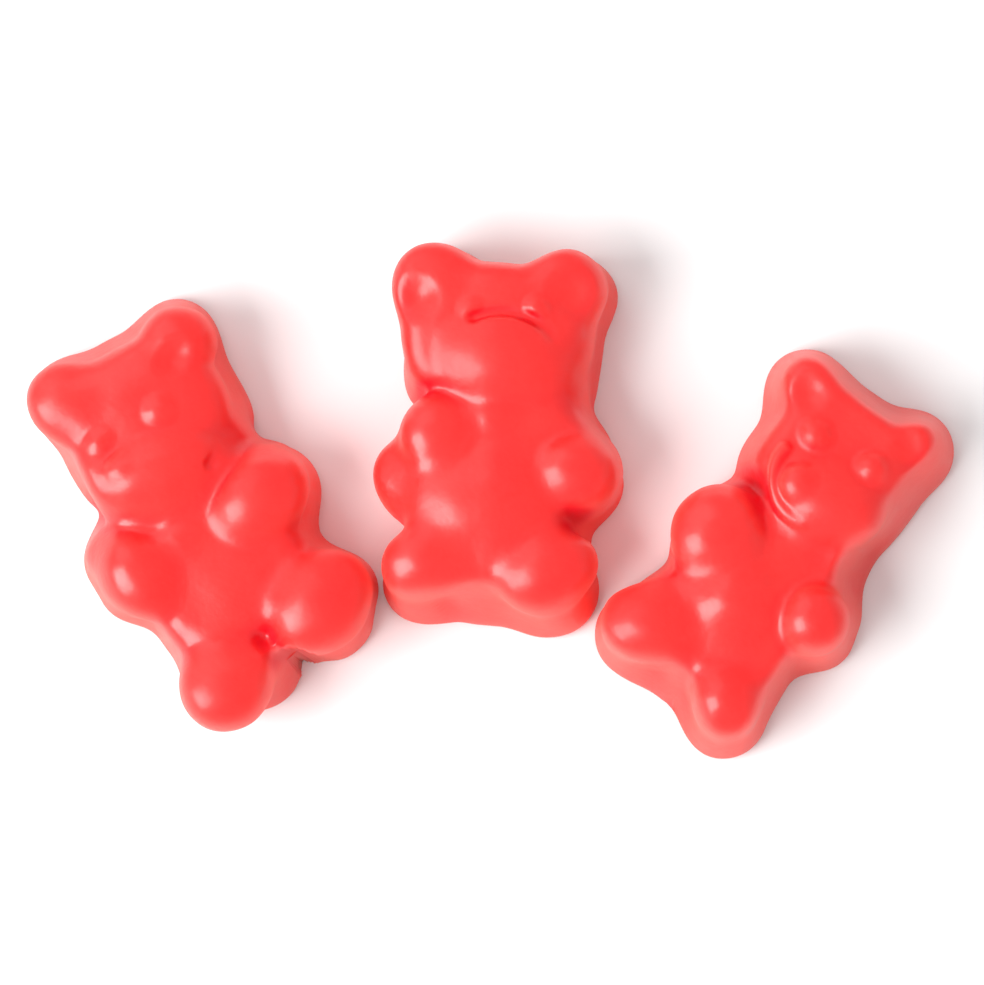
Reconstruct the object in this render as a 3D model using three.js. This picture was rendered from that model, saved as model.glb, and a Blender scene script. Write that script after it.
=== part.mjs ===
// A row of three gummy bears lying on their backs, each cast in one piece of jelly.
// Units are millimetres, +X runs along the row, +Z is up and the flat backs rest on z = 0.
import * as THREE from 'three';

// ---- how finely each skin is divided ----
const STATIONS = 25;             // places along the straight middle of the body
const END_COLUMNS = 24;          // columns fanned round the head end, and round the foot end
const TOP_STEPS = 5;
const SIDE_STEPS = 16;
const UNDER_STEPS = 3;
const HALVINGS = 16;

// ---- sizes shared by the three bears ----
const CORE_HEIGHT = 2.5;         // height of the flat core the skin is measured from
const CORE_HALF_WIDTH = 2.7;
const BACK_EDGE_ROUND = 0.9;     // rounding where the side meets the flat back
const BACK_HOLLOW = 0.35;        // shallow hollow left in the back as the jelly shrinks
const BACK_RIM = 1.8;            // flat rim kept around that hollow
const BACK_RIM_FADE = 1.5;
const EAR_FILLET = 1.3;
const LIMB_FILLET = 1.3;
const LEVEL_FILLET = 0.8;
const TORSO_SQUARENESS = 3;
const FACE_SQUARENESS = 3;
const STEP_OUT = 0.25;
const FARTHEST = 9;

// ---- colour of the jelly ----
const JELLY_COLOUR = 0xf5413f;
const JELLY_ROUGHNESS = 0.35;

// Every bear is written in its own frame: x across the body, y from feet to ears, z up.
//   place      centre of the body in the row, and how far it is turned (degrees)
//   lean       sideways and headward shift of the top for every millimetre of height
//   spine      x, y of the foot end and x, y of the head end of the flat core
//   head/torso centre x, y, half width, half length, widening per mm towards the ears
//   ears       centre x, y, radius
//   limbs      x, y, radius at one end and x, y, radius at the other end
//   upright    x, y, reach of a patch where the side stands steeper (minus: slopes more)
//   webHeight  level of the body; mounds: centre x, y, half width, half length and rise
//   face       the plate under the face, like a head; faceHeight, then how it falls off
//   domes      centre x, y, z, half sizes x, y, z, turn (degrees), fillet
//   dents      the same, taken away

const LEFT_BEAR = {
  place: { x: -15.94, y: -1.09, turn: 29.3 },
  lean: { x: -0.1, y: 0.05 },
  spine: [0.2, -6.8, 0.2, 6.4],
  draft: 12.5,
  shoulder: 1.2,
  neckFillet: 1.3,
  head: [0.25, 6.9, 5.6, 4.75, 0],
  headSquareness: 4.5,
  torso: [0, -3, 5.5, 6.2, 0],
  ears: [[-3, 9.45, 2.35], [3.7, 9.55, 2.25]],
  limbs: {
    armLeft: [-4.7, 0, 2.6, -4.6, -1.3, 2.65],
    armRight: [4.25, -0.7, 2.75, 4, -0.4, 2.8],
    legLeft: [-3.2, -8.6, 2.45, -1.5, -9, 2.3],
    legRight: [3.5, -8.2, 2.7, 4.5, -7.2, 2.5],
    crotch: [-0.4, -8.9, 1.9, 0.9, -8.7, 1.4],
  },
  upright: [[6.5, -0.5, 3, 0.6], [7, -7.5, 3, 0.6], [0, 11, 5, -1.3], [0.4, -10.5, 2.6, -1]],
  webHeight: 5,
  mounds: [
    [0.4, -3.6, 4.6, 6, 0.6],
    [-7.2, 6.5, 2.8, 5, -1.6],
  ],
  face: [0.1, 5.9, 4.9, 5.1, 0.03],
  faceHeight: 5.2,
  faceSlope: 1.2,
  faceEdge: 1,
  domes: {
    brow: [0.6, 6, 4.3, 4.3, 3.9, 1.8, 0, 1.2],
    earLeft: [-3, 8.7, 4.3, 2.15, 2.2, 1.4, 0, 1.2],
    earRight: [3.9, 8.6, 4.3, 2.2, 2.1, 1.4, 0, 0.6],
    chest: [-1.2, -1.1, 5.2, 0.9, 0.8, 0.8, 0, 0.8],
    pawLeft: [-4.1, -1.7, 4.3, 2.2, 2.8, 2.1, 0, 1.2],
    pawRight: [3.8, -1.3, 4.5, 3, 2.5, 2.2, 10, 1.1],
    footLeft: [-3.1, -9.2, 4.4, 2.5, 2.6, 2, 0, 1.2],
    footRight: [3.7, -8, 4.4, 2.9, 2.6, 2.2, 20, 1.1],
    chin: [-0.5, 2.2, 3.6, 3.9, 2.6, 2.7, -8, 1.6],
    muzzle: [-0.6, 2.9, 4.4, 3.5, 2.1, 2.1, -8, 0.9],
    cheek: [-3.2, 4.3, 5, 0.8, 1.2, 0.9, 0, 0.5],
    nose: [-2.2, 3.9, 5.9, 1, 0.55, 0.75, 0, 0.4],
    eyeLeft: [-2.3, 5.6, 5.6, 0.65, 0.6, 0.7, 0, 0.3],
    eyeRight: [1.35, 5.5, 5.7, 0.9, 0.85, 0.8, 0, 0.4],
  },
  dents: {
    earRight: [3.5, 7.7, 7.3, 1.7, 1.3, 1.8, 0, 0.4],
  },
};

const MIDDLE_BEAR = {
  place: { x: 0.59, y: 3.38, turn: -4.3 },
  lean: { x: -0.17, y: 0.06 },
  spine: [0.6, -6.6, 0.2, 5.2],
  draft: 12,
  shoulder: 0.8,
  neckFillet: 1.2,
  head: [0, 5.2, 5.75, 4.3, 0.012],
  headSquareness: 6,
  torso: [0.6, -4.3, 5.1, 6.5, 0],
  ears: [[-3.5, 7.95, 2.7], [3.85, 8.55, 2.15]],
  limbs: {
    armLeft: [-4.05, -2.7, 2.2, -2.8, -0.8, 2.1],
    armRight: [4.85, -2.2, 2.5, 4.3, -0.9, 2.5],
    legLeft: [-3.55, -8.5, 2.35, -2.6, -7.7, 2],
    legRight: [3.75, -8.3, 2.65, 3.2, -7.4, 2.6],
  },
  upright: [[-6, -2, 3, 0.4], [6, -2, 3, 0.3], [-0.5, -11, 3.6, -0.9]],
  webHeight: 5,
  mounds: [
    [1, -4.2, 3.1, 3.8, 1.6],
    [-6.6, -3, 2.6, 4.2, -1.8],
    [-7.2, 4.5, 2.6, 3.6, -1.6],
  ],
  face: [0.2, 6.2, 5.6, 5.2, 0.03],
  faceHeight: 5.3,
  faceSlope: 0.8,
  faceEdge: 1,
  domes: {
    brow: [0.5, 5.8, 4.3, 4.4, 3.3, 1.7, 0, 1.2],
    earLeft: [-3.4, 7.5, 4.3, 2.25, 2.2, 1.4, 0, 1],
    earRight: [4, 8, 4.3, 2.1, 2, 1.4, 0, 1],
    chest: [0.7, 0.3, 4.6, 1.3, 0.8, 1.1, 0, 1.2],
    pawLeft: [-2.5, -0.7, 4.2, 2.3, 2.2, 1.9, 0, 1.5],
    elbowRight: [5.2, -2, 3, 2, 2.5, 2.4, 0, 1.2],
    pawRight: [5, -2.3, 4.5, 2.6, 2.1, 2.1, 0, 1.2],
    footLeft: [-2.6, -7.9, 4.2, 2.5, 2.1, 2.1, 0, 1.4],
    footRight: [4.2, -7.9, 4.3, 3, 2.5, 2.2, 30, 1.2],
    chin: [1.4, 1.5, 2.8, 3.6, 2.4, 2.4, 0, 1.6],
    muzzle: [1, 3.8, 4.6, 3.6, 2.4, 2.4, 0, 0.8],
    eyeLeft: [-1, 6.05, 5.7, 0.7, 0.65, 0.6, 0, 0.5],
    eyeRight: [2.6, 6.4, 5.6, 0.7, 0.65, 0.7, 0, 0.4],
    sideLeft: [-1, -4.3, 3.7, 2.9, 2.6, 2.2, 0, 1.5],
    elbowLeft: [-4, -3.1, 2.8, 2.1, 2.2, 1.6, 0, 1.2],
  },
  dents: {
    earLeft: [-4.1, 6.7, 7.6, 1.5, 1.5, 2, 0, 1],
    earRight: [4.7, 7.4, 7.6, 1.6, 1.6, 2, 0, 1],
  },
};

const RIGHT_BEAR = {
  place: { x: 16.56, y: -2.21, turn: -35 },
  lean: { x: -0.02, y: 0 },
  spine: [0.1, -7.6, 0.3, 4.8],
  draft: 13.5,
  shoulder: 0.8,
  neckFillet: 1.5,
  head: [0.15, 5.2, 5.25, 4.6, 0],
  headSquareness: 4.5,
  torso: [0.2, -4.8, 4.8, 6.9, 0],
  ears: [[-3.85, 7.5, 2.4], [3, 8.35, 2.25]],
  limbs: {
    armLeft: [-3.25, -2.6, 2.3, -3, -1.4, 2.35],
    armRight: [4.35, -3.3, 2.4, 4.1, -2.2, 2.4],
    legLeft: [-3.65, -9.2, 2.55, -2.9, -7.3, 2.4],
    legRight: [2.9, -10.25, 2.45, 2.3, -8.2, 2.2],
    neckRight: [2.9, 0.5, 2.2, 3.2, -2, 2.3],
  },
  upright: [
    [-6, -1.5, 3, 0.8],
    [-6.5, -8, 2.5, 0.7],
    [5, 0.6, 2.6, -1],
    [5.5, 5, 4, -0.5],
    [-0.5, -12, 3.6, -0.8],
    [0, 10, 3, -0.5],
  ],
  webHeight: 4.8,
  mounds: [
    [-0.5, -4.6, 2.8, 2.8, 1.4],
  ],
  face: [0.1, 5.3, 4.25, 4.6, 0.06],
  faceHeight: 5.1,
  faceSlope: 1,
  faceEdge: 1,
  domes: {
    pawLeft: [-3.2, -1.9, 4, 2.4, 2.6, 2.4, 0, 1.3],
    elbowLeft: [-2.9, -3.1, 3.8, 2.4, 1.9, 2.1, 0, 1.8],
    pawRight: [3.95, -3.2, 4.2, 2, 2, 2.2, 0, 1.1],
    footLeft: [-3.3, -8.6, 4.1, 2.5, 2, 2.1, 30, 1.3],
    footRight: [2.5, -9.6, 3.6, 1.9, 1.8, 2.2, 0, 1.3],
    chin: [0.9, 2.4, 3.2, 2.9, 2.4, 2.8, 10, 1.5],
    muzzle: [0.9, 2.6, 4.3, 2.9, 1.9, 1.9, 10, 0.5],
    nose: [-0.9, 2.4, 5.3, 1, 1, 1.1, 0, 0.35],
    eyeLeft: [-1.7, 5.2, 4.9, 0.9, 0.85, 0.75, 0, 0.7],
    eyeRight: [1.85, 5.4, 4.9, 0.95, 0.9, 0.8, 0, 0.7],
  },
  dents: {
    earLeft: [-3.5, 6.9, 6.5, 1.5, 1.4, 1.8, 0, 0.5],
    earRight: [3.1, 7.3, 6.5, 1.4, 1.5, 1.8, 0, 0.5],
  },
};

// ---- joining shapes with a fillet ----

function smoothMin(a, b, fillet) {
  const near = Math.max(fillet - Math.abs(a - b), 0) / fillet;
  return Math.min(a, b) - near * near * fillet / 4;
}

function smoothMax(a, b, fillet) {
  return -smoothMin(-a, -b, fillet);
}

function clamp(value, low, high) {
  return Math.min(Math.max(value, low), high);
}

function radians(degrees) {
  return degrees * Math.PI / 180;
}

// ---- flat shapes: negative inside, zero on the edge, in millimetres ----

// A rectangle with soft corners that widens towards the ears.
function softBlock(x, y, [centreX, centreY, halfWidth, halfLength, widening], squareness) {
  const width = halfWidth * clamp(1 + widening * (y - centreY), 0.3, 2);
  const u = Math.abs((x - centreX) / width) ** squareness;
  const v = Math.abs((y - centreY) / halfLength) ** squareness;
  return ((u + v) ** (1 / squareness) - 1) * Math.min(halfWidth, halfLength);
}

// A stroke with round ends of two radii.
function stroke(x, y, [x0, y0, radius0, x1, y1, radius1]) {
  const dx = x1 - x0;
  const dy = y1 - y0;
  const along = clamp(((x - x0) * dx + (y - y0) * dy) / (dx * dx + dy * dy), 0, 1);
  const radius = radius0 + (radius1 - radius0) * along;
  return Math.hypot(x - x0 - along * dx, y - y0 - along * dy) - radius;
}

// The edge of the whole bear on its flat back: head, ears, torso, arms and legs.
function outline(x, y, bear) {
  let edge = softBlock(x, y, bear.head, bear.headSquareness);
  for (const [earX, earY, radius] of bear.ears) {
    edge = smoothMin(edge, Math.hypot(x - earX, y - earY) - radius, EAR_FILLET);
  }
  edge = smoothMin(edge, softBlock(x, y, bear.torso, TORSO_SQUARENESS), bear.neckFillet);
  for (const limb of Object.values(bear.limbs)) {
    edge = smoothMin(edge, stroke(x, y, limb), LIMB_FILLET);
  }
  return edge;
}

// ---- the solid: negative inside, zero on the skin ----

// Height of the casting under the domes: low over the body, higher over the face, then
// raised or lowered softly by the mounds.
function levelHeight(x, y, bear) {
  const face = softBlock(x, y, bear.face, FACE_SQUARENESS);
  const plate = smoothMin(bear.faceHeight, bear.faceHeight - bear.faceSlope * face, bear.faceEdge);
  let level = smoothMax(bear.webHeight, plate, LEVEL_FILLET);
  for (const [centreX, centreY, halfWidth, halfLength, rise] of bear.mounds) {
    const u = (x - centreX) / halfWidth;
    const v = (y - centreY) / halfLength;
    level += rise * Math.exp(-u * u - v * v);
  }
  return level;
}

// How far the side leans in for every millimetre of height.
function sideLean(x, y, bear) {
  let lean = Math.tan(radians(bear.draft));
  for (const [patchX, patchY, reach, amount] of bear.upright) {
    const away = ((x - patchX) ** 2 + (y - patchY) ** 2) / reach ** 2;
    lean *= 1 - amount * Math.exp(-away);
  }
  return lean;
}

// An egg-shaped swelling, or with the sign turned a dent.
function egg(x, y, z, [cx, cy, cz, rx, ry, rz, turn]) {
  const c = Math.cos(radians(turn));
  const s = Math.sin(radians(turn));
  const u = (x - cx) * c + (y - cy) * s;
  const v = (y - cy) * c - (x - cx) * s;
  const w = z - cz;
  const size = Math.hypot(u / rx, v / ry, w / rz);
  const slope = Math.hypot(u / rx ** 2, v / ry ** 2, w / rz ** 2) + 1e-9;
  return size * (size - 1) / slope;
}

function bearForm(x, y, z, bear) {
  const edge = outline(x, y, bear);
  const side = edge + z * sideLean(x, y, bear);
  let form = smoothMax(side, z - levelHeight(x, y, bear), bear.shoulder);
  for (const dome of Object.values(bear.domes)) {
    form = smoothMin(form, egg(x, y, z, dome), dome[7]);
  }
  for (const dent of Object.values(bear.dents)) {
    form = smoothMax(form, -egg(x, y, z, dent), dent[7]);
  }
  const hollow = BACK_HOLLOW * clamp((-edge - BACK_RIM) / BACK_RIM_FADE, 0, 1) ** 2;
  return smoothMax(form, hollow - z, BACK_EDGE_ROUND);
}

// ---- the skin: rays go out from a flat core and stop where the solid ends ----

// Columns run up the right side, round the head end, down the left side and round the feet.
function coreColumns() {
  const last = STATIONS - 1;
  const right = Array.from({ length: STATIONS }, (_, i) => ({ station: i, angle: 0 }));
  const left = right.map(({ station }) => ({ station: last - station, angle: Math.PI }));
  const turns = Array.from({ length: END_COLUMNS }, (_, i) => (i + 1) / (END_COLUMNS + 1));
  const head = turns.map((turn) => ({ station: last, angle: Math.PI * turn }));
  const feet = turns.map((turn) => ({ station: 0, angle: Math.PI * (1 + turn) }));
  return [...right, ...head, ...left, ...feet];
}

// A place on the spine of the core and the way out from it, level.
function coreRay({ station, angle }, [x0, y0, x1, y1]) {
  const length = Math.hypot(x1 - x0, y1 - y0);
  const ahead = [(x1 - x0) / length, (y1 - y0) / length];
  const share = station / (STATIONS - 1);
  return {
    x: x0 + (x1 - x0) * share,
    y: y0 + (y1 - y0) * share,
    outX: ahead[1] * Math.cos(angle) + ahead[0] * Math.sin(angle),
    outY: -ahead[0] * Math.cos(angle) + ahead[1] * Math.sin(angle),
  };
}

// How far out on the core each ring starts, and the lift of its rays above level.
function coreRings() {
  const rings = [];
  for (let i = 1; i < TOP_STEPS; i += 1) {
    rings.push({ out: CORE_HALF_WIDTH * i / TOP_STEPS, lift: Math.PI / 2 });
  }
  for (let i = 0; i <= SIDE_STEPS; i += 1) {
    rings.push({ out: CORE_HALF_WIDTH, lift: Math.PI * (0.5 - i / SIDE_STEPS) });
  }
  for (let i = UNDER_STEPS - 1; i > 0; i -= 1) {
    rings.push({ out: CORE_HALF_WIDTH * i / UNDER_STEPS, lift: -Math.PI / 2 });
  }
  return rings;
}

// Walk out along a ray to the first point outside, then halve the last step.
function skinPoint(start, way, bear) {
  const at = (t) => start.map((value, i) => value + t * way[i]);
  let inside = 0;
  let outside = STEP_OUT;
  while (outside < FARTHEST && bearForm(...at(outside), bear) < 0) {
    inside = outside;
    outside += STEP_OUT;
  }
  for (let i = 0; i < HALVINGS; i += 1) {
    const middle = (inside + outside) / 2;
    if (bearForm(...at(middle), bear) < 0) {
      inside = middle;
    } else {
      outside = middle;
    }
  }
  return at(outside);
}

// From the bear's own frame into the row: lean, turn, then move.
function intoRow([x, y, z], bear) {
  const height = z < 0.002 ? 0 : z;
  const leaningX = x + bear.lean.x * height;
  const leaningY = y + bear.lean.y * height;
  const c = Math.cos(radians(bear.place.turn));
  const s = Math.sin(radians(bear.place.turn));
  const rowX = bear.place.x + leaningX * c - leaningY * s;
  const rowY = bear.place.y + leaningX * s + leaningY * c;
  return [rowX, rowY, height];
}

// The skin above or below the middle line of the core, one point for each station.
function keelPoints(bear, up) {
  return Array.from({ length: STATIONS }, (_, station) => {
    const { x, y } = coreRay({ station, angle: 0 }, bear.spine);
    return skinPoint([x, y, CORE_HEIGHT], [0, 0, up], bear);
  });
}

function ringPoints(bear, columns, { out, lift }) {
  return columns.map((column) => {
    const { x, y, outX, outY } = coreRay(column, bear.spine);
    const start = [x + out * outX, y + out * outY, CORE_HEIGHT];
    const way = [outX * Math.cos(lift), outY * Math.cos(lift), Math.sin(lift)];
    return skinPoint(start, way, bear);
  });
}

// Strips between neighbouring rings, closed along the middle line above and below.
function skinTriangles(columns, rings) {
  const top = columns.map(({ station }) => station);
  const levels = [top];
  for (let i = 0; i < rings; i += 1) {
    levels.push(columns.map((_, j) => STATIONS + i * columns.length + j));
  }
  levels.push(top.map((station) => STATIONS + rings * columns.length + station));
  const triangles = [];
  for (let i = 0; i < levels.length - 1; i += 1) {
    addStrip(triangles, levels[i], levels[i + 1]);
  }
  return triangles;
}

function addStrip(triangles, upper, lower) {
  upper.forEach((_, j) => {
    const k = (j + 1) % upper.length;
    if (lower[j] !== lower[k]) {
      triangles.push(upper[j], lower[j], lower[k]);
    }
    if (upper[j] !== upper[k]) {
      triangles.push(upper[j], lower[k], upper[k]);
    }
  });
}

function bearGeometry(bear) {
  const columns = coreColumns();
  const rings = coreRings();
  const sides = rings.flatMap((ring) => ringPoints(bear, columns, ring));
  const points = [...keelPoints(bear, 1), ...sides, ...keelPoints(bear, -1)];
  const placed = points.flatMap((point) => intoRow(point, bear));
  const geometry = new THREE.BufferGeometry();
  geometry.setAttribute('position', new THREE.Float32BufferAttribute(placed, 3));
  geometry.setIndex(skinTriangles(columns, rings.length));
  geometry.computeVertexNormals();
  return geometry;
}

function bearMesh(name, bear, material) {
  const mesh = new THREE.Mesh(bearGeometry(bear), material);
  mesh.name = name;
  return mesh;
}

// ---- the row, centred on its footprint ----

const jelly = new THREE.MeshStandardMaterial({
  color: JELLY_COLOUR,
  roughness: JELLY_ROUGHNESS,
  metalness: 0,
});

const row = new THREE.Group();
row.name = 'gummy_bears';
row.add(bearMesh('bear_left', LEFT_BEAR, jelly));
row.add(bearMesh('bear_middle', MIDDLE_BEAR, jelly));
row.add(bearMesh('bear_right', RIGHT_BEAR, jelly));

const box = new THREE.Box3().setFromObject(row);
const middleOfRow = box.getCenter(new THREE.Vector3());
for (const mesh of row.children) {
  mesh.geometry.translate(-middleOfRow.x, -middleOfRow.y, -box.min.z);
}

export default row;
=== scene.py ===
# %% [markdown]
# # A row of three gummy bears
# Each bear is one lump of milky red jelly, cast face up in a starch mould and turned out.
# It lies on the flat back it was poured to, with its belly, paws, feet and face on top.
# The lesson builds every bear from one formula, then gives the jelly its milky look.

# %% The fixed frame and the units
import math

import bpy
import numpy as np
from mathutils import Matrix, Vector


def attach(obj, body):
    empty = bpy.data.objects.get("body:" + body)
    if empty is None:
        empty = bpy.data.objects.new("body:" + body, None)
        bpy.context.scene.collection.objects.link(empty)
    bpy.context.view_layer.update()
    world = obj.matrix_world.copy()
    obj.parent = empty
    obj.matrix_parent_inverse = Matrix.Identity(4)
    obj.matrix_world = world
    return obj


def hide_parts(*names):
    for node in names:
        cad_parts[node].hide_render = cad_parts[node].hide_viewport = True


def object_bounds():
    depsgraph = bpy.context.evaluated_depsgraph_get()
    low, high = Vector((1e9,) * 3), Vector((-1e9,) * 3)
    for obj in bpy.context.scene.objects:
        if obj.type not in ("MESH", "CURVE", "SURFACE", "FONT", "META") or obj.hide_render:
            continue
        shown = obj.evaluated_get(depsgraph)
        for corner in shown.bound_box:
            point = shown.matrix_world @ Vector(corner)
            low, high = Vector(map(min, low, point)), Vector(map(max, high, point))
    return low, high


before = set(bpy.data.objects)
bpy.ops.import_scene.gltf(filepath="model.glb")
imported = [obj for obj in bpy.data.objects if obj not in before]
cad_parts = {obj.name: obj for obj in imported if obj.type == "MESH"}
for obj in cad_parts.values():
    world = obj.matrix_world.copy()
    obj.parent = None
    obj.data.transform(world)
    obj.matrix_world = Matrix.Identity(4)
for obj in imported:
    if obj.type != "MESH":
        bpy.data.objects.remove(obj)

cad_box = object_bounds()
MM = 0.001
box_corners = [tuple(round(v, 4) for v in corner) for corner in cad_box]
print("nodes", sorted(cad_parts), "box", box_corners)

# %% [markdown]
# ## Jelly shapes that melt into each other
# A cast sweet has no sharp join: a paw flows into the belly with a small fillet.
# Loops of polygons could be bridged and smoothed by hand, but every fillet would be work.
# A form that is a number at each point, negative inside, joins by a soft minimum instead,
# and the width of that minimum is the fillet in millimetres.

# %% Soft joins
def smooth_min(a, b, fillet):
    """min(a, b) - n^2 fillet / 4, with n = max(fillet - |a - b|, 0) / fillet."""
    near = np.maximum(fillet - np.abs(a - b), 0.0) / fillet
    return np.minimum(a, b) - near * near * fillet / 4


def smooth_max(a, b, fillet):
    """-smooth_min(-a, -b)."""
    return -smooth_min(-a, -b, fillet)


where_they_meet = smooth_min(0.2, 0.0, 1.0)
print("two faces 0.2 mm apart meet at", round(float(where_they_meet), 3), "mm with a 1 mm fillet")


# %% [markdown]
# ## Flat shapes for the outline
# Seen from above a bear is a soft rectangle for the head, two round ears, a soft torso
# and short strokes for arms and legs. Each is a formula in x and y, in the bear's own
# frame: x across the body, y from feet to ears, in millimetres.

# %% Soft block and stroke
NARROWEST, WIDEST = 0.3, 2


def soft_block(x, y, block, squareness):
    """((|u|^n + |v|^n)^(1/n) - 1) s, with u = (x - cx) / w(y), v = (y - cy) / l, s = min(w, l)."""
    centre_x, centre_y, half_width, half_length, widening = block
    width = half_width * np.clip(1 + widening * (y - centre_y), NARROWEST, WIDEST)
    u = np.abs((x - centre_x) / width) ** squareness
    v = np.abs((y - centre_y) / half_length) ** squareness
    return ((u + v) ** (1 / squareness) - 1) * min(half_width, half_length)


def stroke(x, y, ends):
    """Distance to the segment between two points, less a radius that runs from one end to the other."""
    x0, y0, radius0, x1, y1, radius1 = ends
    dx, dy = x1 - x0, y1 - y0
    along = np.clip(((x - x0) * dx + (y - y0) * dy) / (dx * dx + dy * dy), 0, 1)
    radius = radius0 + (radius1 - radius0) * along
    return np.hypot(x - x0 - along * dx, y - y0 - along * dy) - radius


at_its_edge = soft_block(4.0, 0.0, [0, 0, 4, 5, 0], 3)
print("the edge of a block reads", at_its_edge, "and inside it is below zero")


# %% The outline of a whole bear
EAR_FILLET = 1.3
LIMB_FILLET = 1.3
TORSO_SQUARENESS = 3


def outline(x, y, bear):
    """Soft minimum of the head, both ears, the torso and every limb: zero on the edge."""
    edge = soft_block(x, y, bear["head"], bear["head_squareness"])
    for ear_x, ear_y, radius in bear["ears"]:
        edge = smooth_min(edge, np.hypot(x - ear_x, y - ear_y) - radius, EAR_FILLET)
    edge = smooth_min(edge, soft_block(x, y, bear["torso"], TORSO_SQUARENESS), bear["neck_fillet"])
    for limb in bear["limbs"].values():
        edge = smooth_min(edge, stroke(x, y, limb), LIMB_FILLET)
    return edge


print("ears and limbs join the block with fillets of", EAR_FILLET, "and", LIMB_FILLET, "mm")


# %% [markdown]
# ## The solid form
# The mould is cut with sides that lean in, so that the sweet comes out. Its floor is a low
# level over the body and a higher one over the face, and rounded hollows in that floor
# cast the belly, paws, feet, muzzle and eyes. So the form is a slab with leaning sides and
# a level top, joined with egg shapes, and cut flat at the back.

# %% Level top and leaning side
FACE_SQUARENESS = 3
LEVEL_FILLET = 0.8


def level_height(x, y, bear):
    """Soft maximum of the web and a face plate that falls off past its edge.

    Each mound then adds rise exp(-u^2 - v^2), and a valley is a mound whose rise is negative.
    """
    past_edge = soft_block(x, y, bear["face"], FACE_SQUARENESS)
    height = bear["face_height"]
    plate = smooth_min(height, height - bear["face_slope"] * past_edge, bear["face_edge"])
    level = smooth_max(bear["web_height"], plate, LEVEL_FILLET)
    for centre_x, centre_y, half_width, half_length, rise in bear["mounds"]:
        away = ((x - centre_x) / half_width) ** 2 + ((y - centre_y) / half_length) ** 2
        level = level + rise * np.exp(-away)
    return level


def side_lean(x, y, bear):
    """tan(draft) times 1 - amount exp(-r^2 / reach^2) for every patch that stands steeper."""
    lean = math.tan(math.radians(bear["draft"]))
    for patch_x, patch_y, reach, amount in bear["upright"]:
        away = ((x - patch_x) ** 2 + (y - patch_y) ** 2) / reach**2
        lean = lean * (1 - amount * np.exp(-away))
    return lean


USUAL_DRAFT = 12
lean_in = math.tan(math.radians(USUAL_DRAFT))
print("a side drafted by", USUAL_DRAFT, "degrees leans in", round(lean_in, 3), "mm a millimetre")


# %% Eggs for the swellings and the dents
LEAST_SLOPE = 1e-9


def egg(x, y, z, shape):
    """k (k - 1) / g for an ellipsoid: k = |(u/rx, v/ry, w/rz)| and g = |(u/rx^2, v/ry^2, w/rz^2)|."""
    cx, cy, cz, rx, ry, rz, turn = shape
    c, s = math.cos(math.radians(turn)), math.sin(math.radians(turn))
    u = (x - cx) * c + (y - cy) * s
    v = (y - cy) * c - (x - cx) * s
    w = z - cz
    size = np.sqrt((u / rx) ** 2 + (v / ry) ** 2 + (w / rz) ** 2)
    slope = np.sqrt((u / rx**2) ** 2 + (v / ry**2) ** 2 + (w / rz**2) ** 2) + LEAST_SLOPE
    return size * (size - 1) / slope


one_away = egg(3.0, 0, 0, [0, 0, 0, 2, 2, 2, 0])
print("a point 1 mm outside a ball of 2 mm reads", round(float(one_away), 2))


# %% Ridges and grooves
def arc_tube(x, y, z, shape):
    """Distance to an arc of a circle lying level at one height, less the radius of the tube."""
    cx, cy, cz, radius, start, end, tube = shape
    half = math.radians(end - start) / 2
    middle = math.radians(start) + half
    turned = np.arctan2(y - cy, x - cx) - middle
    turned = np.clip((turned + math.pi) % (2 * math.pi) - math.pi, -half, half) + middle
    near_x = cx + radius * np.cos(turned)
    near_y = cy + radius * np.sin(turned)
    return np.sqrt((x - near_x) ** 2 + (y - near_y) ** 2 + (z - cz) ** 2) - tube


in_the_middle = arc_tube(0, 2.5, 5, [0, 0, 5, 2.5, 45, 135, 0.2])
print("the middle of a tube reads", round(float(in_the_middle), 2), "mm")

# %% [markdown]
# ## The unevenness of starch
# The starch that the mould is pressed in is never quite true, and the jelly shrinks as it
# dries. So its shine wobbles: a highlight has a soft, broken edge, not that of a billiard ball.
# A bump map would move the shine alone. A few long waves added to the form move the
# surface itself by hundredths of a millimetre, and the mesh keeps them.

# %% Waves across the skin
RIPPLE_SEED = 5
RIPPLE_COUNT = 14
RIPPLE_LENGTHS = (1.6, 5.0)
RIPPLE_STEEPNESS = 0.014


def ripple_waves():
    """For each wave: k of size 2 pi / length, a phase, and a height of steepness length / (2 pi)."""
    random = np.random.default_rng(RIPPLE_SEED)
    lengths = random.uniform(*RIPPLE_LENGTHS, RIPPLE_COUNT)
    ways = random.normal(size=(RIPPLE_COUNT, 3))
    ways = ways / np.linalg.norm(ways, axis=1, keepdims=True) * (2 * math.pi / lengths)[:, None]
    phases = random.uniform(0, 2 * math.pi, RIPPLE_COUNT)
    return ways, phases, RIPPLE_STEEPNESS * lengths / (2 * math.pi)


RIPPLES = ripple_waves()


def ripple(x, y, z):
    """Sum of a sin(k . p + phase), a few waves with a in step with their length."""
    total = 0
    for way, phase, height in zip(*RIPPLES):
        total = total + height * np.sin(way[0] * x + way[1] * y + way[2] * z + phase)
    return total


print("waves", RIPPLE_COUNT, "the tallest", round(float(RIPPLES[2].max()), 4), "mm")


# %% The whole solid
BACK_EDGE_ROUND = 0.9
BACK_HOLLOW = 0.35
BACK_RIM = 1.8
BACK_RIM_FADE = 1.5


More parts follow.
